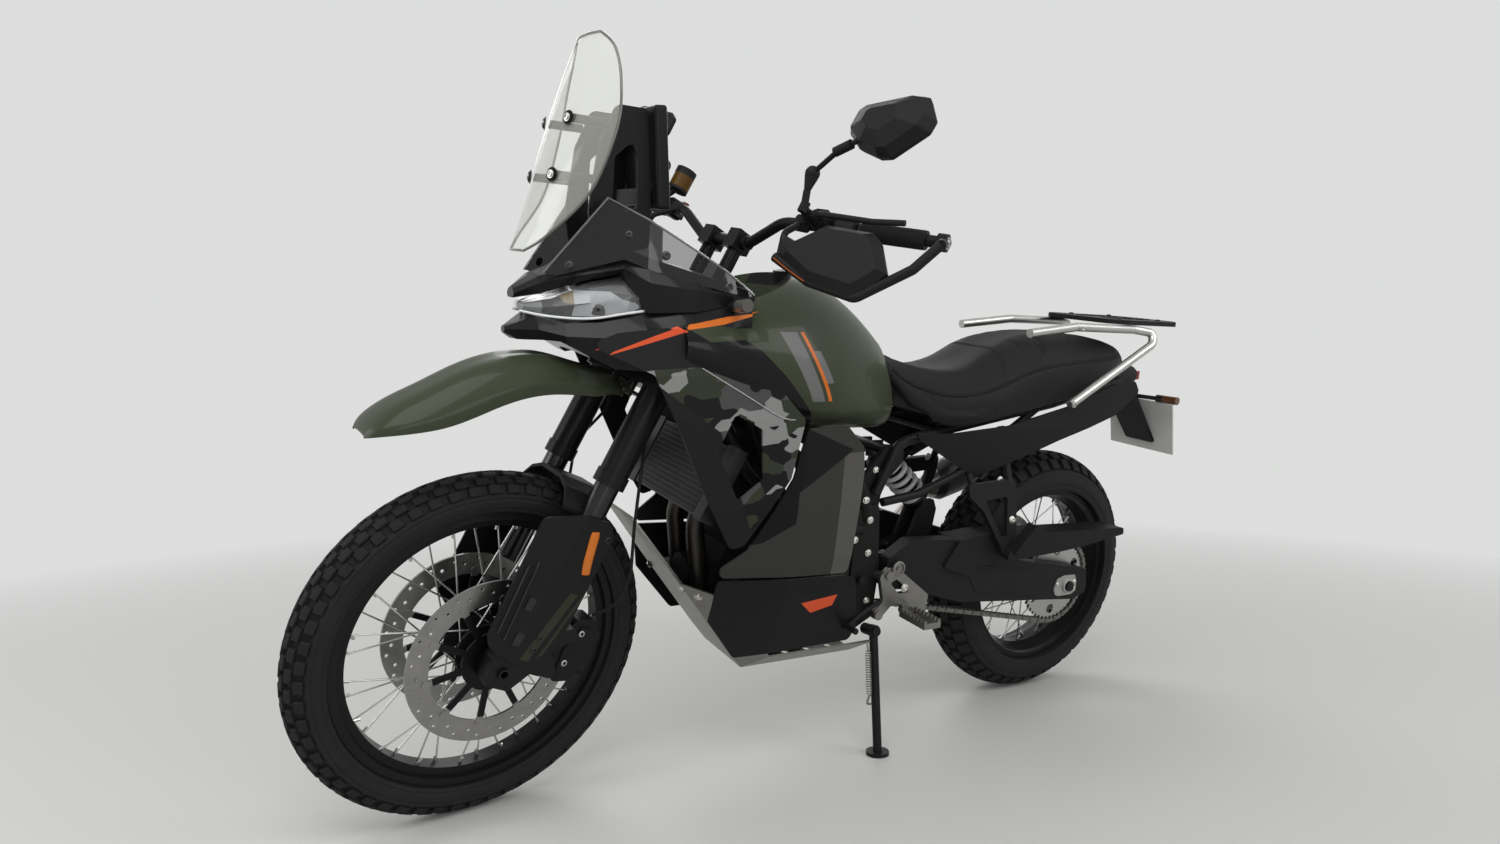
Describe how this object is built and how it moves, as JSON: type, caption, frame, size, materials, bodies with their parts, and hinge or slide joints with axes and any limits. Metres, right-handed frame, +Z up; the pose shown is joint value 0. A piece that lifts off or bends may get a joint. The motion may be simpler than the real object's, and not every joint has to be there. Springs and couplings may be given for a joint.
{
  "type": "adventure motorcycle",
  "caption": "Adventure motorcycle leaning on its side stand, with a long-travel fork, spoked wheels, tall screen and luggage rack; wheels, steering and stand move.",
  "frame": {"origin": "on the floor under the centre of the machine's own box, as it leans on its side stand", "axes": "+X to the front of the motorcycle, +Y to its left, +Z up from the floor"},
  "size_m": [2.2823, 1.0144, 1.5072],
  "materials": {
    "tyre_rubber": "matte, blocky tread",
    "rim_black": "satin black anodised",
    "hub_black": "satin black with bright spokes",
    "disc_steel": "ground steel",
    "sprocket_steel": "bare steel",
    "fork_black": "satin black",
    "frame_black": "satin black",
    "slider": "hard chrome",
    "black_plastic": "grained black",
    "gloss_black": "gloss black",
    "green": "matte army green",
    "graphite": "matte graphite",
    "camo": "matte black with a plain camouflage print",
    "clear": "clear polycarbonate",
    "lens": "clear lamp lens over bright reflectors",
    "tinted": "dark tinted polycarbonate",
    "screen_glass": "black display glass",
    "aluminium": "satin aluminium",
    "silver": "satin silver",
    "engine_black": "matte black castings",
    "steel": "brushed stainless",
    "chain_steel": "dull oiled steel",
    "spring_grey": "grey-white spring",
    "seat_cover": "black vinyl",
    "rubber": "black rubber",
    "radiator": "black finned core",
    "plate_white": "blank",
    "lamp_red": "red lens"
  },
  "bodies": {
    "chassis": {"main_frame": "frame_black", "subframe": "frame_black", "engine": "engine_black", "chain": "chain_steel", "front_sprocket": "sprocket_steel", "swingarm": "frame_black", "rear_shock": "spring_grey", "chain_guard": "black_plastic", "fuel_tank": "green", "tank_top_cover": "black_plastic", "shrouds": "camo", "side_panels": "graphite", "belly_covers": "black_plastic", "skid_plate": "aluminium", "radiator": "radiator", "exhaust": "steel", "seat": "seat_cover", "tail_panels": "black_plastic", "grab_rails": "silver", "rack_plate": "black_plastic", "plate_holder": "black_plastic", "number_plate": "plate_white", "rear_lamps": "lamp_red", "nose_fairing": "gloss_black", "upper_cowl": "gloss_black", "headlight": "lens", "wind_deflectors": "tinted", "front_indicators": "lens", "windscreen": "clear", "screen_tower": "black_plastic", "display": "screen_glass", "rider_pegs": "silver", "passenger_pegs": "frame_black", "foot_controls": "frame_black", "rear_caliper": "frame_black", "stand_lug": "frame_black"},
    "steering": {"fork_outer_tubes": "fork_black", "fork_legs": "slider", "triple_clamps": "fork_black", "handlebar": "fork_black", "bar_controls": "black_plastic", "hand_guards": "black_plastic", "mirrors": "black_plastic", "front_fender": "green", "fork_guards": "black_plastic", "front_calipers": "fork_black", "brake_hoses": "rubber"},
    "front_wheel": {"front_tyre": "tyre_rubber", "front_rim": "rim_black", "front_hub": "hub_black", "front_discs": "disc_steel"},
    "rear_wheel": {"rear_tyre": "tyre_rubber", "rear_rim": "rim_black", "rear_hub": "hub_black", "rear_disc": "disc_steel", "rear_sprocket": "sprocket_steel"},
    "side_stand": {"side_stand": "frame_black"}
  },
  "joints": [
    {"name": "steering", "type": "hinge", "parent": "chassis", "child": "steering", "pos_m": [0.48247, -0.06218, 0.83545], "axis": [-0.4448, 0.1462, 0.8836], "range_deg": [-43.8, 28.2]},
    {"name": "front_wheel_spin", "type": "hinge", "parent": "steering", "child": "front_wheel", "pos_m": [0.79585, -0.13609, 0.33999], "axis": [-0.1218, 0.9676, -0.2214], "continuous": true},
    {"name": "rear_wheel_spin", "type": "hinge", "parent": "chassis", "child": "rear_wheel", "pos_m": [-0.71368, -0.14616, 0.33003], "axis": [-0.0003, 0.9866, -0.1633], "continuous": true},
    {"name": "side_stand_fold", "type": "hinge", "parent": "chassis", "child": "side_stand", "pos_m": [-0.06376, -0.00085, 0.27609], "axis": [0.1655, 0.9824, 0.0864], "range_deg": [0, 93.8]}
  ]
}
